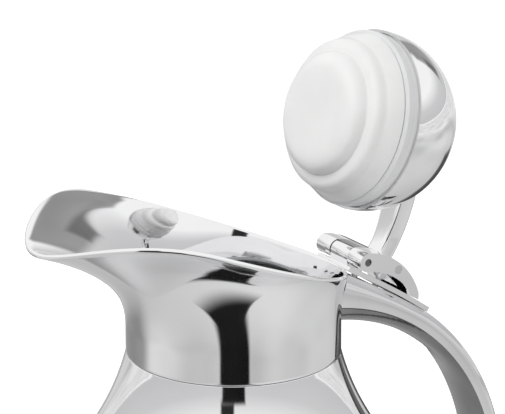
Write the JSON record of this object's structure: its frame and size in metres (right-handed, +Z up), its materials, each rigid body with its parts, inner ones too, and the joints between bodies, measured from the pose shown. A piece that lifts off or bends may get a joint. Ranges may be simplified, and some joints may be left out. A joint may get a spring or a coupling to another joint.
{
  "type": "insulated beverage server",
  "caption": "Polished steel double-wall beverage server with a flared pouring collar, a strap handle and a hinged dome lid with a white stopper.",
  "frame": {"origin": "centre of the base pad's underside", "axes": "+Z up along the jug's axis, -X towards the spout, +X towards the handle, Y across"},
  "size_m": [0.1948, 0.131, 0.2566],
  "materials": {
    "polished_steel": "mirror polish",
    "brushed_steel": "fine satin",
    "white_plastic": "gloss",
    "grey_silicone": "matt",
    "black_rubber": "matt",
    "foam_plastic": "matt"
  },
  "bodies": {
    "jug": {"outer_body": "polished_steel", "inner_liner": "brushed_steel", "liner_bottom": "brushed_steel", "outer_bottom": "brushed_steel", "vacuum_seal": "brushed_steel", "getter": "brushed_steel", "base_cover": "brushed_steel", "foot_pad": "black_rubber", "pouring_collar": "polished_steel", "collar_gasket": "grey_silicone", "hinge_plate": "polished_steel", "hinge_screws": "brushed_steel", "hinge_pin": "brushed_steel", "handle_lower_bracket": "brushed_steel", "handle_upper_bracket": "brushed_steel", "handle_screws": "brushed_steel", "handle_shell": "polished_steel", "handle_inner_cover": "polished_steel"},
    "lid": {"lid_dome": "polished_steel", "lid_plug": "white_plastic", "plug_gasket": "grey_silicone", "plug_insulation": "foam_plastic", "lid_arm": "polished_steel", "thumb_lever": "polished_steel", "arm_rivet": "brushed_steel"}
  },
  "joints": [
    {"name": "lid_hinge", "type": "hinge", "parent": "jug", "child": "lid", "pos_m": [0.0482, 0, 0.1768], "axis": [0, -1, 0], "range_deg": [0, 108]}
  ]
}
